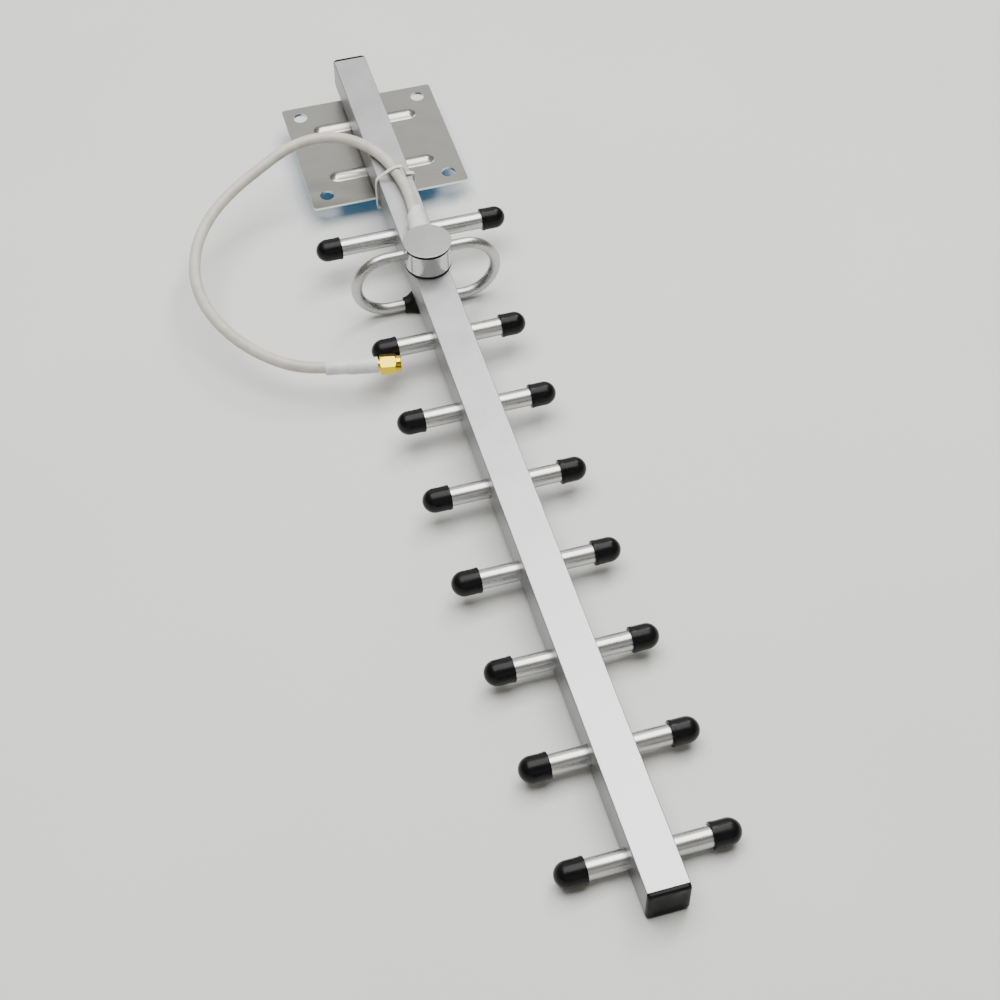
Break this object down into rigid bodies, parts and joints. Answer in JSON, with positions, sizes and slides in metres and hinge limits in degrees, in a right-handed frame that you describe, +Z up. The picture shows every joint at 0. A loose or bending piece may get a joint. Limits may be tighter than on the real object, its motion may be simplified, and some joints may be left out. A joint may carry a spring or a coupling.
{
  "type": "yagi antenna",
  "caption": "Yagi antenna with tube directors and a folded dipole on a square boom, with a flat mast plate and a coax pigtail ending in a screw-on plug.",
  "frame": {"origin": "centre of the four mast bolt holes, on the underside of the mount plate", "axes": "+Z out of the plate towards the boom; the boom lies along Y with the directors at its -Y end; +X to the right when looking along +Y with +Z up"},
  "size_m": [0.149, 0.4782, 0.0397],
  "materials": {
    "boom_aluminium": "satin anodised",
    "tube_aluminium": "polished",
    "rod_aluminium": "satin drawn",
    "housing_metal": "turned satin",
    "plate_steel": "galvanised",
    "cap_rubber": "semi-gloss",
    "black_plastic": "matt",
    "blue_film": "gloss",
    "screw_steel": "bright",
    "feed_plastic": "matt",
    "copper_wire": "tinned copper",
    "white_sleeve": "matt",
    "cable_jacket": "satin",
    "nylon": "satin",
    "gold_plate": "gold plated, polished",
    "ptfe": "waxy",
    "seal_rubber": "matt"
  },
  "bodies": {
    "antenna": {"boom": "boom_aluminium", "boom_plug_front": "black_plastic", "boom_plug_rear": "black_plastic", "centre_pin": "gold_plate", "coax_cable": "cable_jacket", "connector_body": "gold_plate", "connector_dielectric": "ptfe", "connector_gasket": "seal_rubber", "connector_heatshrink": "white_sleeve", "crimp_ferrule": "gold_plate", "dipole_housing": "housing_metal", "dipole_saddle": "black_plastic", "director_1": "tube_aluminium", "director_1_cap_left": "cap_rubber", "director_1_cap_right": "cap_rubber", "director_2": "tube_aluminium", "director_2_cap_left": "cap_rubber", "director_2_cap_right": "cap_rubber", "director_3": "tube_aluminium", "director_3_cap_left": "cap_rubber", "director_3_cap_right": "cap_rubber", "director_4": "tube_aluminium", "director_4_cap_left": "cap_rubber", "director_4_cap_right": "cap_rubber", "director_5": "tube_aluminium", "director_5_cap_left": "cap_rubber", "director_5_cap_right": "cap_rubber", "director_6": "tube_aluminium", "director_6_cap_left": "cap_rubber", "director_6_cap_right": "cap_rubber", "director_7": "tube_aluminium", "director_7_cap_left": "cap_rubber", "director_7_cap_right": "cap_rubber", "feed_block": "feed_plastic", "feed_leads": "copper_wire", "folded_dipole": "rod_aluminium", "housing_gasket": "black_plastic", "housing_lid": "housing_metal", "housing_screws": "screw_steel", "lid_seal": "black_plastic", "mount_plate": "plate_steel", "plate_rivets": "screw_steel", "protective_film": "blue_film", "reflector": "tube_aluminium", "reflector_cap_left": "cap_rubber", "reflector_cap_right": "cap_rubber", "saddle_screw": "screw_steel", "snap_ring": "gold_plate", "strain_relief_sleeve": "white_sleeve", "terminal_screws": "screw_steel", "zip_tie": "nylon"},
    "nut": {"coupling_nut": "gold_plate"}
  },
  "joints": [
    {"name": "coupling_nut_spin", "type": "hinge", "parent": "antenna", "child": "nut", "pos_m": [-0.0342, -0.1546, 0.011], "axis": [0.9816, -0.1908, 0], "continuous": true}
  ]
}
